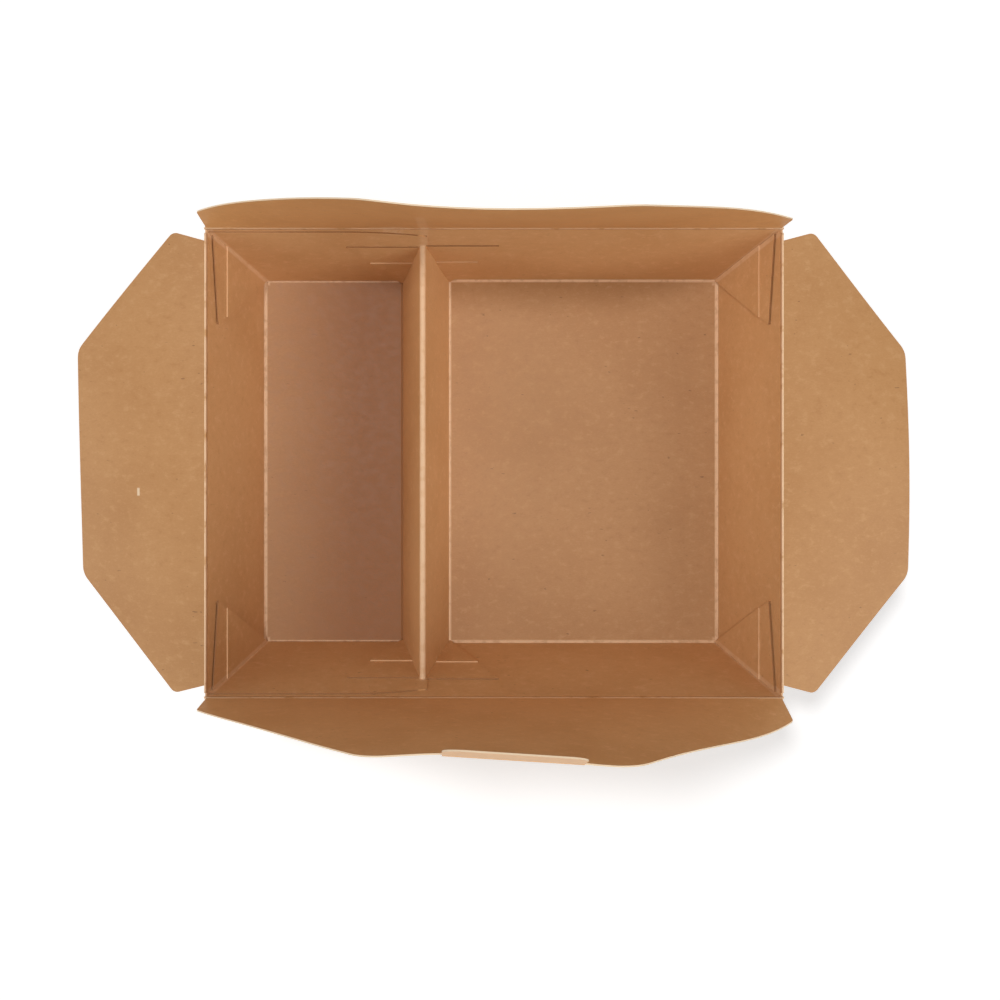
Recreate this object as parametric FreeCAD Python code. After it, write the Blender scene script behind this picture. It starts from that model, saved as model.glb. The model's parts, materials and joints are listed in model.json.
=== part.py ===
import FreeCAD, Part
import math
import os

# Takeaway box of folded kraft board with two compartments.
# The tray is one folded sheet: a floor, four walls that lean out, and an inverted-V divider whose
# underside is open. Its four closing flaps stand on score lines along the tops of the walls.
# Frame: the origin is the middle of the floor's underside, +Z is up, +X runs along the box to the
# larger compartment, and +Y points to the back wall. All lengths are in millimetres.

# Board
BOARD = 0.4
BEAD_RADIUS = 0.4           # raised line that the scoring rule leaves along a fold
BASE_FOLD_RADIUS = 0.8

# Tray
FLOOR_LENGTH = 150.0        # between the base folds of the end walls
FLOOR_WIDTH = 120.0         # between the base folds of the long walls
TRAY_HEIGHT = 48.0          # to the score lines of the long flaps
END_LEAN = 12.6             # degrees that the end walls lean out
SIDE_LEAN = 11.3            # degrees that the long walls lean out
END_SCORE_DROP = 0.8        # the end flaps' score lines lie lower, so they close under the long flaps
SCORE_GAP = 0.45            # from a flap's turning line down to the wall's top edge

# Divider
DIVIDER_OFFSET = 21.6       # from the middle of the box towards -X
DIVIDER_FOOT_WIDTH = 15.6
DIVIDER_HEIGHT = 34.5
RIDGE_RADIUS = 0.95

# Corner webs, folded flat onto the end walls
WEB_HEIGHT_AT_CORNER = 43.4
WEB_HEIGHT_AT_FOLD = 39.6
WEB_RUN = 26.0              # from the corner along the wall, at the web's top
WEB_PLY_HEIGHT = 33.5       # where the web's second ply ends
WEB_GAP = 0.3               # how far the web's free edge stands off the wall
WEB_GAP_DEPTH = 2.2
WEB_GAP_END = 0.9           # from the gap's end to the long wall, where the web is glued

# Divider webs, folded flat onto the long walls
DIVIDER_WEB_HEIGHT = 33.5
DIVIDER_WEB_RUN = 15.6
DIVIDER_WEB_PLY_HEIGHT = 20.0

# Second ply on the long walls of the smaller compartment
LINER_HEIGHT = 45.4
LINER_END_HEIGHT = 41.8
LINER_BEND_BACK = 24.0      # from the liner's end back to where its top edge starts to dip
LINER_PAST_RIDGE = 1.6

# Long flaps
LONG_FLAP_LENGTH = 78.0
LONG_FLAP_TOP = 65.0        # width of the free edge
LONG_TIP_RISE = 11.5        # the side tips' distance from the score line
LONG_TIP_RADIUS = 2.0
LONG_CORNER_RADIUS = 12.0
LONG_END_CLEARANCE = 0.5
LONG_TIP_REACH = 0.6        # how far each tip runs past its end of the score line

# End flaps
END_FLAP_LENGTH = 40.0
END_FLAP_EDGE = 68.0        # width of the free edge
EAR_RISE = 9.8              # the ears' distance from the score line
EAR_CLEARANCE = 1.0         # between an ear's tip and the long wall's score line
EAR_FLARE = 2.8             # how far each ear runs past its end of the score line
EAR_RADIUS = 2.5
END_CORNER_RADIUS = 6.0

# Tuck tongue of the front flap
TONGUE_WIDTH = 34.0
TONGUE_LENGTH = 14.0
TONGUE_OFFSET = 3.0
TONGUE_BEND = 18.0          # degrees that it bends inwards from the flap
TONGUE_RADIUS = 5.0
CREASE_RADIUS = 0.3         # raised line along the tongue's fold

# Warp of the flaps, along the score line from -1 to 1 of its half length. Each row holds the place,
# and the slope in degrees at the score line and at the free edge. A long flap's slope is outwards
# from upright, and an end flap's is upwards from level.
BACK_WARP = [(-1.0, 17.0, 17.0), (-0.84, 6.0, 2.0), (-0.6, -0.5, -2.5), (-0.3, -4.0, -6.0),
             (0.3, -5.0, -6.3), (0.62, -2.5, -5.0), (0.84, 0.5, -1.0), (1.0, 4.0, 4.0)]
FRONT_WARP = [(-1.0, 8.0, 9.0), (-0.82, 2.0, 1.5), (-0.55, 0.2, 0.0), (-0.2, -1.0, -1.2),
              (0.26, 0.4, 1.2), (0.5, 1.6, 2.6), (0.74, 7.0, 8.0), (0.88, 14.0, 15.0), (1.0, 24.0, 25.0)]
LEFT_WARP = [(-1.0, -16.0, -26.0), (-0.5, -14.0, -24.0), (0.0, -9.0, -20.0), (0.5, -6.0, -16.0),
             (1.0, -6.0, -14.0)]
RIGHT_WARP = [(-1.0, -9.0, -20.0), (-0.5, -8.0, -18.0), (0.0, -6.0, -16.0), (0.5, -10.0, -23.0),
              (1.0, -12.0, -26.0)]

# How the flap surfaces are drawn
WARP_STEPS = 4
SURFACE_MARGIN = 3.0
CUTTER_DEPTH = 60.0
SINK = 0.05                 # overlap that joins a ply to the wall under it

X_AXIS = FreeCAD.Vector(1, 0, 0)
Y_AXIS = FreeCAD.Vector(0, 1, 0)
Z_AXIS = FreeCAD.Vector(0, 0, 1)

TAN_END = math.tan(math.radians(END_LEAN))
TAN_SIDE = math.tan(math.radians(SIDE_LEAN))
COS_END = math.cos(math.radians(END_LEAN))
COS_SIDE = math.cos(math.radians(SIDE_LEAN))
END_SCORE_HEIGHT = TRAY_HEIGHT - END_SCORE_DROP


def half_length(z):
    """Half the tray's inner length at height z."""
    return FLOOR_LENGTH / 2 + (z - BOARD) * TAN_END


def half_width(z):
    """Half the tray's inner width at height z."""
    return FLOOR_WIDTH / 2 + (z - BOARD) * TAN_SIDE


# The turning lines lie in the middle of the board.
END_SCORE_X = half_length(END_SCORE_HEIGHT) + BOARD / 2 / COS_END
SIDE_SCORE_Y = half_width(TRAY_HEIGHT) + BOARD / 2 / COS_SIDE


def point(x, y, z):
    return FreeCAD.Vector(x, y, z)


def frustum(low, high, outset):
    """Leaning block of the tray's inner form between two heights, set out by a board's thickness."""
    wires = []
    for z in (low, high):
        x = half_length(z) + outset / COS_END
        y = half_width(z) + outset / COS_SIDE
        corners = [point(-x, -y, z), point(x, -y, z), point(x, y, z), point(-x, y, z), point(-x, -y, z)]
        wires.append(Part.makePolygon(corners))
    return Part.makeLoft(wires, True, True)


def round_base(block):
    """Rounds the block's base folds."""
    edges = [e for e in block.Edges if abs(e.BoundBox.ZMax) < 0.01 and abs(e.BoundBox.ZMin) < 0.01]
    return block.makeFillet(BASE_FOLD_RADIUS, edges)


def rod(start, end, radius):
    """Round bead along a fold, with domed ends."""
    way = end - start
    bead = Part.makeCylinder(radius, way.Length, start, way)
    for centre in (start, end):
        bead = bead.fuse(Part.makeSphere(radius, centre))
    return bead


class Wall:
    """Inner face of one wall. A point on it is given by its place along the wall and its height."""

    def __init__(self, along, outward, half_span, lean):
        self.along = along
        self.outward = outward
        self.half_span = half_span
        self.inward = (Z_AXIS * math.sin(math.radians(lean))) - (outward * math.cos(math.radians(lean)))

    def at(self, place, z):
        return self.along * place + self.outward * self.half_span(z) + Z_AXIS * z

    def ply(self, outline, depth, lift=0.0, sink=SINK):
        """Flat piece of board on the wall. The outline is a list of (place, height)."""
        corners = [self.at(place, z) + self.inward * (lift - sink) for place, z in outline]
        face = Part.Face(Part.makePolygon(corners + [corners[0]]))
        return face.extrude(self.inward * (depth + sink))


LEFT_WALL = Wall(Y_AXIS, -X_AXIS, half_length, END_LEAN)
RIGHT_WALL = Wall(Y_AXIS, X_AXIS, half_length, END_LEAN)
FRONT_WALL = Wall(X_AXIS, -Y_AXIS, half_width, SIDE_LEAN)
BACK_WALL = Wall(X_AXIS, Y_AXIS, half_width, SIDE_LEAN)


def divider_profile(inset):
    """Half of the divider's inverted V, as its slope, foot and tangent point, set in by inset."""
    radius = RIDGE_RADIUS - inset
    centre_z = DIVIDER_HEIGHT - RIDGE_RADIUS
    run = DIVIDER_FOOT_WIDTH / 2
    rise = centre_z - BOARD
    slope = math.atan2(run, rise) - math.asin(RIDGE_RADIUS / math.hypot(run, rise))
    touch_x = radius * math.cos(slope)
    touch_z = centre_z + radius * math.sin(slope)
    foot_z = -BOARD
    foot_x = touch_x + (touch_z - foot_z) * math.tan(slope)
    return foot_x, foot_z, touch_x, touch_z, centre_z + radius


def divider_block(inset):
    """Solid inverted V, from wall to wall."""
    foot_x, foot_z, touch_x, touch_z, top_z = divider_profile(inset)
    y = half_width(TRAY_HEIGHT)
    middle = -DIVIDER_OFFSET
    left_foot = point(middle - foot_x, -y, foot_z)
    right_foot = point(middle + foot_x, -y, foot_z)
    left_touch = point(middle - touch_x, -y, touch_z)
    right_touch = point(middle + touch_x, -y, touch_z)
    edges = [Part.LineSegment(left_foot, left_touch).toShape(),
             Part.Arc(left_touch, point(middle, -y, top_z), right_touch).toShape(),
             Part.LineSegment(right_touch, right_foot).toShape(),
             Part.LineSegment(right_foot, left_foot).toShape()]
    return Part.Face(Part.Wire(edges)).extrude(Y_AXIS * (2 * y))


def corner_web(wall, side):
    """Two plies of the folded corner. The upper ply's free edge stands off the wall."""
    def wall_corner(z):
        return half_width(z) - SINK

    def fold_place(z):
        top = wall_corner(WEB_HEIGHT_AT_FOLD) - WEB_RUN
        share = (z - BOARD) / (WEB_HEIGHT_AT_FOLD - BOARD)
        return wall_corner(BOARD) + (top - wall_corner(BOARD)) * share

    apex = (side * wall_corner(BOARD), BOARD)
    full = [apex, (side * wall_corner(WEB_HEIGHT_AT_CORNER), WEB_HEIGHT_AT_CORNER),
            (side * fold_place(WEB_HEIGHT_AT_FOLD), WEB_HEIGHT_AT_FOLD)]
    second = [apex, (side * wall_corner(WEB_PLY_HEIGHT), WEB_PLY_HEIGHT),
              (side * fold_place(WEB_PLY_HEIGHT), WEB_PLY_HEIGHT)]
    web = wall.ply(full, BOARD + WEB_GAP).fuse(wall.ply(second, 2 * BOARD + WEB_GAP))
    low_corner = WEB_HEIGHT_AT_CORNER - WEB_GAP_DEPTH
    low_fold = WEB_HEIGHT_AT_FOLD - WEB_GAP_DEPTH
    gap = [(side * (wall_corner(low_corner) - WEB_GAP_END), low_corner),
           (side * (wall_corner(WEB_HEIGHT_AT_CORNER) - WEB_GAP_END), WEB_HEIGHT_AT_CORNER + BOARD),
           (side * (fold_place(WEB_HEIGHT_AT_FOLD) + BOARD), WEB_HEIGHT_AT_FOLD + BOARD),
           (side * (fold_place(low_fold) + BOARD), low_fold)]
    return web, wall.ply(gap, WEB_GAP, 0.0, 0.0)


def divider_web(wall, side, lift):
    """Two plies of the fold at one foot of the divider, on the side given."""
    middle = -DIVIDER_OFFSET
    foot = DIVIDER_FOOT_WIDTH / 2

    def fold_place(z):
        return foot + DIVIDER_WEB_RUN * (z - BOARD) / (DIVIDER_WEB_HEIGHT - BOARD)

    def face_place(z):
        return foot * (DIVIDER_HEIGHT - z) / (DIVIDER_HEIGHT - BOARD)

    apex = (middle + side * foot, BOARD)
    full = [apex, (middle + side * fold_place(DIVIDER_WEB_HEIGHT), DIVIDER_WEB_HEIGHT),
            (middle + side * face_place(DIVIDER_WEB_HEIGHT), DIVIDER_WEB_HEIGHT)]
    second = [apex, (middle + side * fold_place(DIVIDER_WEB_PLY_HEIGHT), DIVIDER_WEB_PLY_HEIGHT),
              (middle + side * face_place(DIVIDER_WEB_PLY_HEIGHT), DIVIDER_WEB_PLY_HEIGHT)]
    return wall.ply(full, lift + BOARD).fuse(wall.ply(second, lift + 2 * BOARD))


def liner(wall):
    """Second ply of a long wall in the smaller compartment. Its top edge dips beside the divider."""
    middle = -DIVIDER_OFFSET
    end = middle + LINER_PAST_RIDGE
    bend = end - LINER_BEND_BACK
    corner_low = (-half_length(BOARD), BOARD)
    corner_high = (-half_length(LINER_HEIGHT), LINER_HEIGHT)
    foot = (middle - DIVIDER_FOOT_WIDTH / 2, BOARD)

    def lay(spot):
        return wall.at(spot[0], spot[1]) - wall.inward * SINK

    start_dip = lay((bend, LINER_HEIGHT))
    mid_dip = lay((bend + LINER_BEND_BACK * 0.6, LINER_HEIGHT - (LINER_HEIGHT - LINER_END_HEIGHT) * 0.36))
    end_dip = lay((end, LINER_END_HEIGHT))
    edges = [Part.LineSegment(lay(corner_low), lay(corner_high)).toShape(),
             Part.LineSegment(lay(corner_high), start_dip).toShape(),
             Part.Arc(start_dip, mid_dip, end_dip).toShape(),
             Part.LineSegment(end_dip, lay((end, DIVIDER_HEIGHT))).toShape(),
             Part.LineSegment(lay((end, DIVIDER_HEIGHT)), lay((middle, DIVIDER_HEIGHT))).toShape(),
             Part.LineSegment(lay((middle, DIVIDER_HEIGHT)), lay(foot)).toShape(),
             Part.LineSegment(lay(foot), lay(corner_low)).toShape()]
    return Part.Face(Part.Wire(edges)).extrude(wall.inward * (BOARD + SINK))


def fold_beads():
    """Raised lines along the floor's folds."""
    y = half_width(BOARD)
    x = half_length(BOARD)
    left_foot = -DIVIDER_OFFSET - DIVIDER_FOOT_WIDTH / 2
    right_foot = -DIVIDER_OFFSET + DIVIDER_FOOT_WIDTH / 2
    beads = []
    for low, high in ((-x, left_foot), (right_foot, x)):
        for side in (-1, 1):
            beads.append(rod(point(low, side * y, BOARD), point(high, side * y, BOARD), BEAD_RADIUS))
    for place in (-x, left_foot, right_foot, x):
        beads.append(rod(point(place, -y, BOARD), point(place, y, BOARD), BEAD_RADIUS))
    return beads


def make_tray():
    wall_top = TRAY_HEIGHT - SCORE_GAP
    end_top = END_SCORE_HEIGHT - SCORE_GAP
    outer = round_base(frustum(0.0, wall_top, BOARD))
    inner = frustum(BOARD, TRAY_HEIGHT, 0.0)
    shell = outer.cut(inner)
    # The floor is open between the divider's feet.
    hollow = divider_block(BOARD)
    under = frustum(-BOARD, TRAY_HEIGHT, 0.0)
    shell = shell.cut(hollow.common(under))
    pieces = [divider_block(0.0).cut(hollow).common(frustum(0.0, TRAY_HEIGHT, SINK))]
    gaps = []
    for wall in (LEFT_WALL, RIGHT_WALL):
        for side in (-1, 1):
            web, gap = corner_web(wall, side)
            pieces.append(web)
            gaps.append(gap)
    for wall in (FRONT_WALL, BACK_WALL):
        pieces.append(liner(wall))
        pieces.append(divider_web(wall, -1, BOARD))
        pieces.append(divider_web(wall, 1, 0.0))
    pieces.extend(fold_beads())
    tray = shell
    for piece in pieces:
        tray = tray.fuse(piece)
    tray = tray.common(outer)
    tray = tray.cut(hollow.common(under))
    for gap in gaps:
        tray = tray.cut(gap)
    trim_length = half_length(TRAY_HEIGHT) + BOARD * 2
    trim_width = half_width(end_top)
    trim = Part.makeBox(2 * trim_length, 2 * trim_width, TRAY_HEIGHT,
                        point(-trim_length, -trim_width, end_top))
    return tray.cut(trim).removeSplitter()


def warp_slopes(warp, place):
    """Slopes at a place along the score line, straight between the rows beside it."""
    for (a, root_a, edge_a), (b, root_b, edge_b) in zip(warp, warp[1:]):
        if place <= b:
            share = (place - a) / (b - a)
            return root_a + (root_b - root_a) * share, edge_a + (edge_b - edge_a) * share
    return warp[-1][1:]


def section_points(root_slope, edge_slope, length):
    """Middle line of a flap's section, as (reach, rise) with the slope changing evenly on the way."""
    points = [(0.0, 0.0)]
    step = length / WARP_STEPS
    for i in range(WARP_STEPS):
        share = (i + 0.5) / WARP_STEPS
        slope = math.radians(root_slope + (edge_slope - root_slope) * share)
        reach, rise = points[-1]
        points.append((reach + step * math.cos(slope), rise + step * math.sin(slope)))
    return points


def warped_board(warp, half_span, length):
    """Warped board in the flap's own frame: X along the score line, Y away from it, Z its slope's way."""
    sections = []
    for place, root_slope, edge_slope in warp:
        middle = section_points(root_slope, edge_slope, length)
        sides = []
        for way in (-1, 1):
            line = []
            for i, (reach, rise) in enumerate(middle):
                share = i / WARP_STEPS
                slope = math.radians(root_slope + (edge_slope - root_slope) * share)
                line.append(point(place * half_span, reach - way * BOARD / 2 * math.sin(slope),
                                  rise + way * BOARD / 2 * math.cos(slope)))
            curve = Part.BSplineCurve()
            curve.interpolate(line)
            sides.append((curve.toShape(), line))
        (low, low_line), (high, high_line) = sides
        edges = [low, Part.LineSegment(low_line[-1], high_line[-1]).toShape(), high,
                 Part.LineSegment(high_line[0], low_line[0]).toShape()]
        sections.append(Part.Wire(Part.__sortEdges__(edges)))
    return Part.makeLoft(sections, True, False)


def rounded_outline(corners):
    """Closed outline through (x, y, radius) corners, each rounded by its radius."""
    count = len(corners)
    edges = []
    arcs = []
    for i, (x, y, radius) in enumerate(corners):
        here = point(x, y, 0)
        before = point(corners[i - 1][0], corners[i - 1][1], 0)
        after = point(corners[(i + 1) % count][0], corners[(i + 1) % count][1], 0)
        if radius == 0:
            arcs.append((here, None, here))
            continue
        back = (before - here).normalize()
        on = (after - here).normalize()
        half_turn = back.getAngle(on) / 2
        cut = radius / math.tan(half_turn)
        centre = here + (back + on).normalize() * (radius / math.sin(half_turn))
        arcs.append((here + back * cut, centre + (here - centre).normalize() * radius, here + on * cut))
    for i, (start, middle, end) in enumerate(arcs):
        if middle is not None:
            edges.append(Part.Arc(start, middle, end).toShape())
        edges.append(Part.LineSegment(end, arcs[(i + 1) % count][0]).toShape())
    return Part.Wire(edges)


def flap_solid(outline, warp, half_span, length, score_half):
    """Flap cut from a warped board, with a round bead along its score line."""
    cutter = Part.Face(rounded_outline(outline)).extrude(Z_AXIS * CUTTER_DEPTH)
    cutter.translate(Z_AXIS * (-CUTTER_DEPTH / 2))
    flap = warped_board(warp, half_span, length).common(cutter)
    bead = Part.makeCylinder(BOARD / 2, 2 * score_half, point(-score_half, 0, 0), X_AXIS)
    return flap.fuse(bead)


def place_flap(flap, x_to, y_to, z_to, origin):
    """Stands the flap's own frame up at its wall."""
    matrix = FreeCAD.Matrix(x_to.x, y_to.x, z_to.x, origin.x,
                            x_to.y, y_to.y, z_to.y, origin.y,
                            x_to.z, y_to.z, z_to.z, origin.z,
                            0, 0, 0, 1)
    return flap.transformed(matrix)


def long_outline():
    score_half = END_SCORE_X - LONG_END_CLEARANCE
    tip_half = score_half + LONG_TIP_REACH
    return score_half, [(-score_half, 0, 0), (score_half, 0, 0), (tip_half, LONG_TIP_RISE, LONG_TIP_RADIUS),
                        (LONG_FLAP_TOP / 2, LONG_FLAP_LENGTH, LONG_CORNER_RADIUS),
                        (-LONG_FLAP_TOP / 2, LONG_FLAP_LENGTH, LONG_CORNER_RADIUS),
                        (-tip_half, LONG_TIP_RISE, LONG_TIP_RADIUS)]


def end_outline():
    ear_half = SIDE_SCORE_Y - EAR_CLEARANCE
    score_half = ear_half - EAR_FLARE
    return score_half, [(-score_half, 0, 0), (score_half, 0, 0), (ear_half, EAR_RISE, EAR_RADIUS),
                        (END_FLAP_EDGE / 2, END_FLAP_LENGTH, END_CORNER_RADIUS),
                        (-END_FLAP_EDGE / 2, END_FLAP_LENGTH, END_CORNER_RADIUS),
                        (-ear_half, EAR_RISE, EAR_RADIUS)]


def long_flap(warp):
    score_half, outline = long_outline()
    span = score_half + LONG_TIP_REACH + SURFACE_MARGIN
    return flap_solid(outline, warp, span, LONG_FLAP_LENGTH + SURFACE_MARGIN, score_half)


def end_flap(warp):
    score_half, outline = end_outline()
    span = score_half + EAR_FLARE + SURFACE_MARGIN
    return flap_solid(outline, warp, span, END_FLAP_LENGTH + SURFACE_MARGIN, score_half)


def tongue():
    """Tuck tongue, bent inwards along a crease at the front flap's free edge."""
    score_half, _ = long_outline()
    span = score_half + LONG_TIP_REACH + SURFACE_MARGIN
    ends = []
    for x in (TONGUE_OFFSET - TONGUE_WIDTH / 2, TONGUE_OFFSET + TONGUE_WIDTH / 2):
        slopes = warp_slopes(FRONT_WARP, x / span)
        middle = section_points(slopes[0], slopes[1], LONG_FLAP_LENGTH)
        ends.append(point(x, LONG_FLAP_LENGTH - BOARD, middle[-1][1]))
    along = (ends[1] - ends[0]).normalize()
    width = (ends[1] - ends[0]).Length
    bend = math.radians(TONGUE_BEND)
    flat = Z_AXIS - along * Z_AXIS.dot(along)
    flat.normalize()
    up = flat.cross(along)
    reach = up * math.cos(bend) - flat * math.sin(bend)
    normal = along.cross(reach)
    outline = rounded_outline([(0, 0, 0), (width, 0, 0), (width, TONGUE_LENGTH, TONGUE_RADIUS),
                               (0, TONGUE_LENGTH, TONGUE_RADIUS)])
    plate = Part.Face(outline).extrude(Z_AXIS * BOARD)
    plate.translate(Z_AXIS * (-BOARD / 2))
    crease = Part.makeCylinder(CREASE_RADIUS, width, point(0, 0, 0), X_AXIS)
    return place_flap(plate.fuse(crease), along, reach, normal, ends[0])


def make_parts():
    front = long_flap(FRONT_WARP).fuse(tongue())
    back = long_flap(BACK_WARP)
    left = end_flap(LEFT_WARP)
    right = end_flap(RIGHT_WARP)
    return {
        "tray": make_tray(),
        "front_flap": place_flap(front, X_AXIS, Z_AXIS, -Y_AXIS, point(0, -SIDE_SCORE_Y, TRAY_HEIGHT)),
        "back_flap": place_flap(back, X_AXIS, Z_AXIS, Y_AXIS, point(0, SIDE_SCORE_Y, TRAY_HEIGHT)),
        "left_flap": place_flap(left, Y_AXIS, -X_AXIS, Z_AXIS, point(-END_SCORE_X, 0, END_SCORE_HEIGHT)),
        "right_flap": place_flap(right, Y_AXIS, X_AXIS, Z_AXIS, point(END_SCORE_X, 0, END_SCORE_HEIGHT)),
    }


def only_solid(shape):
    """The shape as its solid, turned the right way out."""
    solids = sorted(shape.Solids, key=lambda s: -abs(s.Volume))
    print("solids:", len(solids), "volume:", round(abs(solids[0].Volume), 2), "valid:", shape.isValid())
    solid = solids[0]
    if solid.Volume < 0:
        solid.reverse()
    return solid


if __name__ == "__main__":
    os.makedirs("parts", exist_ok=True)
    for name, shape in make_parts().items():
        print(name)
        only_solid(shape).exportStep(os.path.join("parts", name + ".step"))
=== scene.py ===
import json
import math

import bmesh
import bpy
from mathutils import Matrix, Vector


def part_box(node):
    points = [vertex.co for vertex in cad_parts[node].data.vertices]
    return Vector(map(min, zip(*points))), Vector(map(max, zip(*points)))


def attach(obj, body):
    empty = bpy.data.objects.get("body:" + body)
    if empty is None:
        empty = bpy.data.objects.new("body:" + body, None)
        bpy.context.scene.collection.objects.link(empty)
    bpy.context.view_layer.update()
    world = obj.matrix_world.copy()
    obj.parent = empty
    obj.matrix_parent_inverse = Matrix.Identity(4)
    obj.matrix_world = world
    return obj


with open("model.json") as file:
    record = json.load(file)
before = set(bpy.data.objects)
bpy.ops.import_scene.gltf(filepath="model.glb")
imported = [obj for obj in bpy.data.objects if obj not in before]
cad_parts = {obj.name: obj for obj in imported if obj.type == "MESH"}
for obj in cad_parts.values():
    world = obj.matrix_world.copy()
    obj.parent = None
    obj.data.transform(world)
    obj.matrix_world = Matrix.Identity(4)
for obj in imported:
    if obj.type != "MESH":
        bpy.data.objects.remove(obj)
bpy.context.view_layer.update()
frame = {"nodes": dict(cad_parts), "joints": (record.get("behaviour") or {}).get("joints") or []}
MM = 0.001

# Camera: it looks straight down into the open box, from a little left of the box's middle. The lens
# keeps the photograph's frame, and the small shift puts the point below the camera where the
# photograph has it.
PHOTO_SIZE = 1000
FOCAL_PIXELS = 1334.7
BELOW_CAMERA_X = 467
BELOW_CAMERA_Y = 446
camera_data = bpy.data.cameras.new("top_camera")
camera_data.sensor_width = 36.0
camera_data.lens = camera_data.sensor_width * FOCAL_PIXELS / PHOTO_SIZE
camera_data.shift_x = (PHOTO_SIZE / 2 - BELOW_CAMERA_X) / PHOTO_SIZE
camera_data.shift_y = (BELOW_CAMERA_Y - PHOTO_SIZE / 2) / PHOTO_SIZE
camera_data.clip_start = 0.01
camera = bpy.data.objects.new("top_camera", camera_data)
camera.location = (-8.0 * MM, 5.04 * MM, 443.1 * MM)
bpy.context.scene.collection.objects.link(camera)
bpy.context.scene.camera = camera

# Tray: one sheet of unbleached kraft board, folded up from a flat blank and glued at its corner webs.
# A thin film gives it a soft sheen, and each fold is paler where the scoring rule stretched it, with a
# painted highlight laid on that paleness. The whole board is painted lighter as painted light, and its
# floors are painted a shade darker as painted shade, the smaller floor darkest in the divider's shadow.
KRAFT = (0.560, 0.304, 0.132)
KRAFT_DEEP = (0.495, 0.252, 0.100)
KRAFT_PALE = (0.620, 0.362, 0.178)
# Pale fibre of stretched folds and of the glue dab and rubbed streak; on folds, plies and scores it is also
# a painted highlight.
PALE_FIBRE_AND_HIGHLIGHT = (0.860, 0.600, 0.380)
# Painted shadow colour for the smaller compartment's floor beside the divider.
SHADED_KRAFT = (0.310, 0.115, 0.028)
# Painted shadow in the gaps under the webs' ply edges.
PLY_GAP_SHADOW = (0.290, 0.128, 0.050)
FIBRE_DARK = (0.210, 0.105, 0.048)
FILM_ROUGHNESS = 0.47

FLOOR_TOP = 0.4 * MM
FLOOR_HALF_LENGTH = 75.0 * MM
FLOOR_HALF_WIDTH = 60.0 * MM
END_SLOPE = math.tan(math.radians(12.6))
SIDE_SLOPE = math.tan(math.radians(11.3))
DIVIDER_X = -21.6 * MM
DIVIDER_FOOT = 7.8 * MM
DIVIDER_TOP = 34.5 * MM


class Recipe:
    """Nodes of one finish. Each call adds nodes and gives back their last output."""

    def __init__(self, name):
        self.material = bpy.data.materials.new(name)
        self.material.use_nodes = True
        self.tree = self.material.node_tree
        self.shader = self.tree.nodes["Principled BSDF"]
        self.coordinate = self.tree.nodes.new("ShaderNodeTexCoord")

    def feed(self, socket, value):
        if isinstance(value, bpy.types.NodeSocket):
            self.tree.links.new(value, socket)
        elif isinstance(value, tuple) and len(value) == 3 and socket.type == "RGBA":
            socket.default_value = (*value, 1.0)
        else:
            socket.default_value = value

    def math(self, operation, *values):
        made = self.tree.nodes.new("ShaderNodeMath")
        made.operation = operation
        for socket, value in zip(made.inputs, values):
            self.feed(socket, value)
        return made.outputs[0]

    def split(self, vector):
        made = self.tree.nodes.new("ShaderNodeSeparateXYZ")
        self.feed(made.inputs[0], vector)
        return made.outputs[0], made.outputs[1], made.outputs[2]

    def stretch(self, vector, scale):
        made = self.tree.nodes.new("ShaderNodeMapping")
        self.feed(made.inputs["Vector"], vector)
        made.inputs["Scale"].default_value = scale
        return made.outputs[0]

    def noise(self, vector, scale, detail=2.0, roughness=0.5):
        made = self.tree.nodes.new("ShaderNodeTexNoise")
        self.feed(made.inputs["Vector"], vector)
        made.inputs["Scale"].default_value = scale
        made.inputs["Detail"].default_value = detail
        made.inputs["Roughness"].default_value = roughness
        return made.outputs[0]

    def step(self, value, low, high):
        """0 at low and 1 at high, smooth between them. Low may be the larger one."""
        made = self.tree.nodes.new("ShaderNodeMapRange")
        made.interpolation_type = "SMOOTHSTEP"
        self.feed(made.inputs["Value"], value)
        made.inputs["From Min"].default_value = min(low, high)
        made.inputs["From Max"].default_value = max(low, high)
        made.inputs["To Min"].default_value = 0.0 if low < high else 1.0
        made.inputs["To Max"].default_value = 1.0 if low < high else 0.0
        return made.outputs["Result"]

    def mix(self, amount, first, second, blend="MIX"):
        made = self.tree.nodes.new("ShaderNodeMix")
        made.data_type = "RGBA"
        made.blend_type = blend
        self.feed(made.inputs["Factor"], amount)
        self.feed(made.inputs[6], first)
        self.feed(made.inputs[7], second)
        return made.outputs[2]

    def near(self, value, place, reach):
        """1 where value is at place, falling to 0 at reach from it."""
        gap = self.math("ABSOLUTE", self.math("SUBTRACT", value, place))
        return self.step(gap, reach, reach * 0.35)

    def both(self, *masks):
        result = masks[0]
        for mask in masks[1:]:
            result = self.math("MULTIPLY", result, mask)
        return result

    def either(self, *masks):
        result = masks[0]
        for mask in masks[1:]:
            result = self.math("MAXIMUM", result, mask)
        return result


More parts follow.
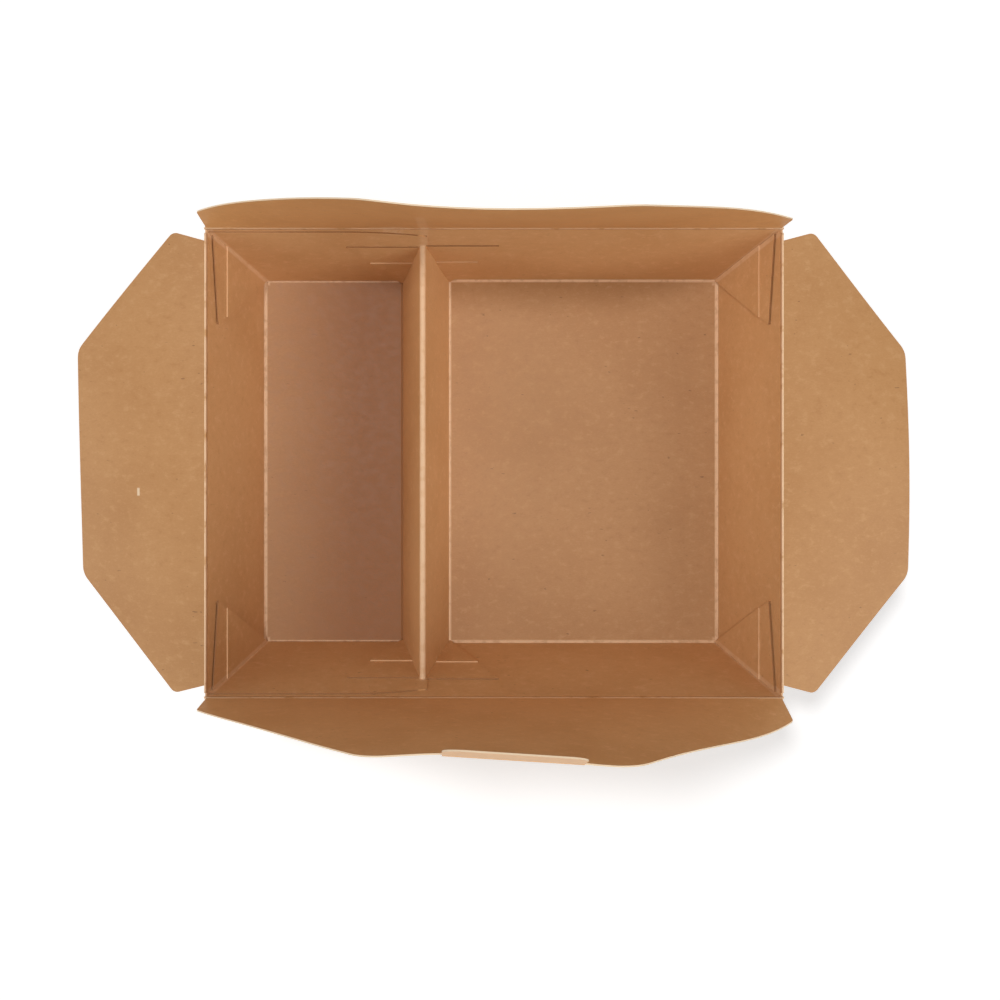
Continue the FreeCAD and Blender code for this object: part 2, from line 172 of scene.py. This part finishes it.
def kraft_board(recipe, tone):
    """Colour and bump of kraft board: clouds of tone, fibre texture and dark flecks. Its tone argument is
    painted light, making each piece's board lighter or darker.
    """
    place = recipe.coordinate.outputs["Object"]
    clouds = recipe.noise(place, 30.0, 3.0, 0.55)
    mottle = recipe.noise(recipe.stretch(place, (0.7, 1.0, 0.8)), 420.0, 4.0, 0.7)
    fine = recipe.noise(recipe.stretch(place, (0.5, 1.0, 1.0)), 2300.0, 2.0, 0.6)
    colour = recipe.mix(recipe.step(clouds, 0.15, 0.62), KRAFT_DEEP, KRAFT)
    pale = recipe.math("MULTIPLY", recipe.step(mottle, 0.50, 0.74), 0.80)
    colour = recipe.mix(pale, colour, KRAFT_PALE)
    deep = recipe.math("MULTIPLY", recipe.step(mottle, 0.48, 0.26), 0.80)
    colour = recipe.mix(deep, colour, KRAFT_DEEP)
    colour = recipe.mix(recipe.math("MULTIPLY", recipe.step(fine, 0.50, 0.80), 0.45), colour, KRAFT_PALE)
    colour = recipe.mix(recipe.math("MULTIPLY", recipe.step(fine, 0.48, 0.22), 0.40), colour, KRAFT_DEEP)
    threads = recipe.noise(recipe.stretch(place, (0.4, 1.0, 1.0)), 1300.0, 1.0, 0.4)
    sparse = recipe.step(recipe.noise(place, 150.0, 1.0), 0.50, 0.62)
    flecks = recipe.step(threads, 0.735, 0.775)
    colour = recipe.mix(recipe.both(flecks, sparse, 0.6), colour, FIBRE_DARK)
    # Painted light and shade: the piece's tone lightens or darkens the whole board.
    colour = recipe.mix(1.0, colour, tone, "MULTIPLY")
    height = recipe.math("ADD", recipe.math("MULTIPLY", fine, 0.5), recipe.math("MULTIPLY", mottle, 0.8))
    bump = recipe.tree.nodes.new("ShaderNodeBump")
    bump.inputs["Strength"].default_value = 0.22
    bump.inputs["Distance"].default_value = 0.06 * MM
    recipe.feed(bump.inputs["Height"], height)
    recipe.feed(recipe.shader.inputs["Normal"], bump.outputs["Normal"])
    rough = recipe.math("ADD", recipe.math("MULTIPLY", mottle, 0.22), FILM_ROUGHNESS - 0.11)
    recipe.feed(recipe.shader.inputs["Roughness"], rough)
    recipe.shader.inputs["Specular IOR Level"].default_value = 0.30
    return colour


def tray_folds(recipe):
    """Where the tray's board is stretched pale, with a painted highlight on it: floor folds, corner folds
    and the divider's ridge, where the highlight is strongest.
    """
    x, y, z = recipe.split(recipe.coordinate.outputs["Object"])
    side_x = recipe.math("ABSOLUTE", x)
    side_y = recipe.math("ABSOLUTE", y)
    at_floor = recipe.step(z, 1.8 * MM, 1.0 * MM)
    above_underside = recipe.step(z, 0.1 * MM, 0.3 * MM)
    end_folds = recipe.near(side_x, FLOOR_HALF_LENGTH, 1.1 * MM)
    long_folds = recipe.near(side_y, FLOOR_HALF_WIDTH, 0.9 * MM)
    right_foot = recipe.near(x, DIVIDER_X + DIVIDER_FOOT, 0.75 * MM)
    floor = recipe.both(at_floor, above_underside, recipe.either(end_folds, long_folds, right_foot))
    raised = recipe.math("SUBTRACT", z, FLOOR_TOP)
    end_wall = recipe.math("MULTIPLY_ADD", raised, END_SLOPE, FLOOR_HALF_LENGTH)
    long_wall = recipe.math("MULTIPLY_ADD", raised, SIDE_SLOPE, FLOOR_HALF_WIDTH)
    end_gap = recipe.math("SUBTRACT", end_wall, side_x)
    side_gap = recipe.math("SUBTRACT", long_wall, side_y)
    corner = recipe.step(recipe.math("MAXIMUM", end_gap, side_gap), 2.0 * MM, 1.3 * MM)
    ridge = recipe.both(recipe.step(z, DIVIDER_TOP - 1.2 * MM, DIVIDER_TOP - 0.5 * MM),
                        recipe.near(x, DIVIDER_X, 1.4 * MM), recipe.step(side_y, 66.8 * MM, 66.2 * MM))
    return recipe.either(floor, recipe.both(corner, 0.5), recipe.both(ridge, 0.85))


def tray_ply_edges(recipe):
    """Painted light on the webs' ply edges where the board faces up: a painted highlight on the upper plies
    and a painted shadow of the gap below them.
    """
    x, y, z = recipe.split(recipe.coordinate.outputs["Object"])
    up = recipe.split(recipe.coordinate.outputs["Normal"])[2]
    below_ridge = recipe.math("SUBTRACT", 1.0, recipe.near(x, DIVIDER_X, 1.6 * MM))
    facing_up = recipe.both(recipe.step(up, 0.6, 0.8), recipe.step(z, 4.0 * MM, 6.0 * MM),
                            recipe.step(z, 46.2 * MM, 45.8 * MM), below_ridge)
    at_end_wall = recipe.step(recipe.math("ABSOLUTE", x), 55.0 * MM, 60.0 * MM)
    upper_ply = recipe.either(recipe.step(z, 24.0 * MM, 22.0 * MM),
                              recipe.both(at_end_wall, recipe.step(z, 36.0 * MM, 35.0 * MM)))
    return recipe.both(facing_up, upper_ply), recipe.both(facing_up, recipe.math("SUBTRACT", 1.0, upper_ply))


def in_patch(recipe, spans):
    """1 inside a span of x, y and z in millimetres, with soft sides."""
    masks = []
    for value, (low, high, soft) in zip(recipe.split(recipe.coordinate.outputs["Object"]), spans):
        masks.append(recipe.step(value, (low - soft) * MM, low * MM))
        masks.append(recipe.step(value, (high + soft) * MM, high * MM))
    return recipe.both(*masks)


def back_marks(recipe, colour):
    """Dab of dried glue across the back score, and the rubbed streak above the divider's ridge."""
    rough_patch = recipe.noise(recipe.coordinate.outputs["Object"], 900.0, 3.0, 0.7)
    dab = in_patch(recipe, ((-32.4, -27.6, 1.2), (60.0, 90.0, 1.0), (44.2, 51.5, 1.6)))
    dab = recipe.both(dab, recipe.step(rough_patch, 0.36, 0.66), 0.42)
    streak = in_patch(recipe, ((-21.6, -20.0, 1.0), (60.0, 90.0, 1.0), (36.0, 84.0, 3.0)))
    inner_face = recipe.step(recipe.split(recipe.coordinate.outputs["Normal"])[1], -0.3, -0.6)
    colour = recipe.mix(recipe.both(dab, inner_face), colour, PALE_FIBRE_AND_HIGHLIGHT)
    return recipe.mix(recipe.both(streak, inner_face, 0.20), colour, PALE_FIBRE_AND_HIGHLIGHT)


# Painted light: the whole tray's board is made lighter than the plain board.
TRAY_PAINTED_LIGHT = (1.20, 1.24, 1.28)
FLOOR_SHADE = (0.72, 0.68, 0.63)
tray_finish = Recipe("kraft_tray")
tray_place = tray_finish.coordinate.outputs["Object"]
tray_colour = kraft_board(tray_finish, TRAY_PAINTED_LIGHT)
# Painted shade: the tray's floor is darkened all over.
floor_shade_patch = in_patch(tray_finish, ((-75.5, 75.5, 0.5), (-60.5, 60.5, 0.5), (0.1, 1.4, 0.3)))
floor_shaded_colour = tray_finish.mix(1.0, tray_colour, FLOOR_SHADE, "MULTIPLY")
tray_colour = tray_finish.mix(floor_shade_patch, tray_colour, floor_shaded_colour)
# Painted shadow: the smaller compartment's floor darkens towards the divider, standing in for its shadow.
divider_shade_patch = in_patch(tray_finish, ((-76.0, -29.0, 0.5), (-61.0, 61.0, 0.5), (0.1, 1.4, 0.3)))
divider_shade_ramp = tray_finish.step(tray_finish.split(tray_place)[0], -90 * MM, -42 * MM)
tray_colour = tray_finish.mix(tray_finish.both(divider_shade_patch, divider_shade_ramp, 0.78), tray_colour, SHADED_KRAFT)
# The folds are partly paler stretched fibre and partly painted highlight, broken up by noise.
fold_noise = tray_finish.noise(tray_place, 420.0, 2.0)
fold_breakup = tray_finish.math("MULTIPLY_ADD", tray_finish.step(fold_noise, 0.30, 0.55), 0.35, 0.55)
fold_amount = tray_finish.both(tray_folds(tray_finish), fold_breakup)
tray_colour = tray_finish.mix(fold_amount, tray_colour, PALE_FIBRE_AND_HIGHLIGHT)
# Painted highlight on the upward-facing ply steps, and painted shadow in the gaps at the plies' edges.
ply_highlight_mask, ply_shadow_mask = tray_ply_edges(tray_finish)
tray_colour = tray_finish.mix(tray_finish.both(ply_highlight_mask, 0.40), tray_colour, PALE_FIBRE_AND_HIGHLIGHT)
tray_colour = tray_finish.mix(tray_finish.both(ply_shadow_mask, 0.85), tray_colour, PLY_GAP_SHADOW)
tray_colour = back_marks(tray_finish, tray_colour)
tray_finish.feed(tray_finish.shader.inputs["Base Color"], tray_colour)
tray = frame["nodes"]["tray"]
tray.data.materials.clear()
tray.data.materials.append(tray_finish.material)

# Closing flaps: the same board, standing on its scores. The cut edge all round each flap shows the
# board's pale core. Each flap's tone also holds how much light the photograph gives it.
CUT_EDGE = (0.800, 0.620, 0.420)
# Painted light and shade: these tones make each flap's board lighter or darker than the same board
# elsewhere.
BACK_FLAP_PAINTED_LIGHT = (1.22, 1.18, 1.06)
FRONT_FLAP_PAINTED_LIGHT = (1.34, 1.36, 1.34)
END_FLAP_PAINTED_SHADE = (0.86, 0.80, 0.70)
FLAPS = ("front_flap", "back_flap", "left_flap", "right_flap")


def flap_finish(name, face_axis, tone):
    """Kraft board with a pale cut edge, wherever the surface turns away from the flap's flat side."""
    recipe = Recipe(name)
    colour = kraft_board(recipe, tone)
    normal = recipe.split(recipe.coordinate.outputs["Normal"])[face_axis]
    edge = recipe.step(recipe.math("ABSOLUTE", normal), 0.62, 0.40)
    colour = recipe.mix(edge, colour, CUT_EDGE)
    if name == "kraft_back_flap":
        colour = back_marks(recipe, colour)
    if name == "kraft_end_flap":
        scratch = in_patch(recipe, ((-106.9, -106.3, 0.2), (-9.6, -7.8, 0.5), (40.0, 60.0, 1.0)))
        inner_face = recipe.step(normal, 0.3, 0.6)
        colour = recipe.mix(recipe.both(scratch, inner_face, 0.8), colour, CUT_EDGE)
    recipe.feed(recipe.shader.inputs["Base Color"], colour)
    return recipe


back_flap_finish = flap_finish("kraft_back_flap", 1, BACK_FLAP_PAINTED_LIGHT)
front_flap_finish = flap_finish("kraft_front_flap", 1, FRONT_FLAP_PAINTED_LIGHT)
end_flap_finish = flap_finish("kraft_end_flap", 2, END_FLAP_PAINTED_SHADE)
for name in FLAPS:
    flap = frame["nodes"][name]
    finish = {"front_flap": front_flap_finish, "back_flap": back_flap_finish}.get(name, end_flap_finish)
    flap.data.materials.clear()
    flap.data.materials.append(finish.material)

# Score lines: the crease that each flap turns on, pressed into the board by a steel rule. The board
# bulges a little and its surface cracks to paler fibre in dashes along the fold; the dashes also carry
# a painted highlight, and the score's board is painted lighter as painted light.
SCORE_RADIUS = 0.31 * MM
SCORE_SKIRT = 1.0 * MM
SCORE_SKIRT_HALF = 0.245 * MM
SCORE_STEPS = 120
# Painted light: the score's board is made a little lighter.
SCORE_PAINTED_LIGHT = (1.10, 1.12, 1.10)
ARC_START = -30
ARC_SWEEP = 240
ARC_STEPS = 8
LONG_SCORE_INSET = 0.35 * MM
END_SCORE_INSET = 1.6 * MM

score_finish = Recipe("kraft_score")
score_colour = kraft_board(score_finish, SCORE_PAINTED_LIGHT)
score_place = score_finish.coordinate.outputs["Object"]
cracks = score_finish.noise(score_place, 190.0, 3.0, 0.6)
# Pale dashes: partly cracked fibre, partly painted highlight.
crack_pale_and_highlight = score_finish.both(score_finish.step(cracks, 0.30, 0.50), 0.85)
score_colour = score_finish.mix(crack_pale_and_highlight, score_colour, PALE_FIBRE_AND_HIGHLIGHT)
score_finish.feed(score_finish.shader.inputs["Base Color"], score_colour)


def score_bead(name, joint, outward, slope, half_length):
    """Round bead about the flap's turning line, with a skirt that joins it to the wall's top."""
    turning = Vector(joint["pos_m"])
    along = Vector((0, 0, 1)).cross(outward).normalized()
    down = (-outward * slope - Vector((0, 0, 1))).normalized()
    across = along.cross(down).normalized()
    profile = []
    for i in range(ARC_STEPS + 1):
        turn = math.radians(ARC_START + ARC_SWEEP * i / ARC_STEPS)
        profile.append(across * (SCORE_RADIUS * math.cos(turn)) - down * (SCORE_RADIUS * math.sin(turn)))
    profile.append(down * SCORE_SKIRT - across * SCORE_SKIRT_HALF)
    profile.append(down * SCORE_SKIRT + across * SCORE_SKIRT_HALF)
    mesh = bmesh.new()
    rings = []
    for i in range(SCORE_STEPS + 1):
        reach = half_length * (2 * i / SCORE_STEPS - 1)
        rings.append([mesh.verts.new(turning + along * reach + spot) for spot in profile])
    count = len(profile)
    for a, b in zip(rings, rings[1:]):
        for i in range(count):
            mesh.faces.new((a[i], a[(i + 1) % count], b[(i + 1) % count], b[i]))
    mesh.faces.new(rings[0])
    mesh.faces.new(list(reversed(rings[-1])))
    bmesh.ops.recalc_face_normals(mesh, faces=mesh.faces)
    data = bpy.data.meshes.new(name)
    mesh.to_mesh(data)
    mesh.free()
    data.materials.append(score_finish.material)
    for polygon in data.polygons:
        polygon.use_smooth = True
    bead = bpy.data.objects.new(name, data)
    bpy.context.scene.collection.objects.link(bead)
    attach(bead, "tray")


SCORE_SIDES = {"front_flap": (Vector((0, -1, 0)), SIDE_SLOPE), "back_flap": (Vector((0, 1, 0)), SIDE_SLOPE),
               "left_flap": (Vector((-1, 0, 0)), END_SLOPE), "right_flap": (Vector((1, 0, 0)), END_SLOPE)}
tray_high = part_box("tray")[1]
for joint in frame["joints"]:
    outward, slope = SCORE_SIDES[joint["child"]]
    if abs(outward.y) > 0.5:
        half = tray_high.x - LONG_SCORE_INSET
    else:
        half = tray_high.y - END_SCORE_INSET
    score_bead(joint["child"].replace("flap", "score"), joint, outward, slope, half)

# Studio: a pale floor that reads as white to the camera and keeps the box's soft shadow. Large soft
# lamps from the right, left and front reach the leaning walls over the open end flaps, one lamp is
# high overhead, and one falls on the floor alone and puts the shadow to the lower right.
FLOOR_WHITE = 0.80
FLOOR_LIFT = 0.54
FLOOR_REACH = 3.0
floor_corners = [(x * FLOOR_REACH, y * FLOOR_REACH, 0) for x, y in ((-1, -1), (1, -1), (1, 1), (-1, 1))]
floor_data = bpy.data.meshes.new("studio_floor")
floor_data.from_pydata(floor_corners, [], [(0, 1, 2, 3)])
studio_floor = bpy.data.objects.new("studio_floor", floor_data)
studio_floor.location.z = -0.05 * MM
bpy.context.scene.collection.objects.link(studio_floor)
floor_material = bpy.data.materials.new("studio_floor")
floor_material.use_nodes = True
floor_tree = floor_material.node_tree
floor_tree.nodes.remove(floor_tree.nodes["Principled BSDF"])
floor_diffuse = floor_tree.nodes.new("ShaderNodeBsdfDiffuse")
floor_diffuse.inputs["Color"].default_value = (FLOOR_WHITE, FLOOR_WHITE, FLOOR_WHITE, 1.0)
floor_glow = floor_tree.nodes.new("ShaderNodeEmission")
light_path = floor_tree.nodes.new("ShaderNodeLightPath")
seen = floor_tree.nodes.new("ShaderNodeMath")
seen.operation = "MAXIMUM"
floor_tree.links.new(light_path.outputs["Is Camera Ray"], seen.inputs[0])
floor_tree.links.new(light_path.outputs["Is Glossy Ray"], seen.inputs[1])
lift = floor_tree.nodes.new("ShaderNodeMath")
lift.operation = "MULTIPLY"
lift.inputs[1].default_value = FLOOR_LIFT
floor_tree.links.new(seen.outputs[0], lift.inputs[0])
floor_tree.links.new(lift.outputs[0], floor_glow.inputs["Strength"])
floor_sum = floor_tree.nodes.new("ShaderNodeAddShader")
floor_tree.links.new(floor_diffuse.outputs[0], floor_sum.inputs[0])
floor_tree.links.new(floor_glow.outputs[0], floor_sum.inputs[1])
floor_tree.links.new(floor_sum.outputs[0], floor_tree.nodes["Material Output"].inputs["Surface"])
floor_data.materials.append(floor_material)

AMBIENT = 0.34
world = bpy.data.worlds.new("studio")
world.use_nodes = True
world_tree = world.node_tree
background = world_tree.nodes["Background"]
background.inputs["Color"].default_value = (1.0, 1.0, 1.0, 1.0)
world_path = world_tree.nodes.new("ShaderNodeLightPath")
world_light = world_tree.nodes.new("ShaderNodeMapRange")
world_light.inputs["To Min"].default_value = AMBIENT
world_light.inputs["To Max"].default_value = 1.0
world_tree.links.new(world_path.outputs["Is Camera Ray"], world_light.inputs["Value"])
world_tree.links.new(world_light.outputs["Result"], background.inputs["Strength"])
bpy.context.scene.world = world


def softbox(name, place, size, watts):
    """Square lamp that faces the box."""
    data = bpy.data.lights.new(name, "AREA")
    data.shape = "SQUARE"
    data.size = size
    data.energy = watts
    lamp = bpy.data.objects.new(name, data)
    lamp.location = place
    lamp.rotation_euler = (-Vector(place)).to_track_quat("-Z", "Y").to_euler()
    bpy.context.scene.collection.objects.link(lamp)
    lamp.light_linking.receiver_collection = side_light


side_light = bpy.data.collections.new("side_light")
side_light.objects.link(studio_floor)
side_light.collection_objects[0].light_linking.link_state = "EXCLUDE"
softbox("right_side", (0.95, -0.35, 0.92), 0.8, 7.0)
softbox("left_side", (-1.20, -0.20, 0.56), 0.8, 4.6)
softbox("front_side", (0.10, -1.20, 0.80), 0.8, 2.6)


def sun(name, way, strength, spread):
    """Distant lamp that shines the given way."""
    data = bpy.data.lights.new(name, "SUN")
    data.energy = strength
    data.angle = math.radians(spread)
    lamp = bpy.data.objects.new(name, data)
    lamp.rotation_euler = Vector(way).to_track_quat("-Z", "Y").to_euler()
    bpy.context.scene.collection.objects.link(lamp)
    return lamp


overhead = sun("overhead", (0.13, -0.06, -1.0), 1.0, 7.0)
overhead.light_linking.receiver_collection = side_light
floor_light = bpy.data.collections.new("floor_light")
floor_light.objects.link(studio_floor)
shadow_lamp = sun("shadow_lamp", (0.27, -0.31, -1.0), 1.1, 8.0)
shadow_lamp.light_linking.receiver_collection = floor_light

bpy.context.scene.view_settings.view_transform = "Standard"
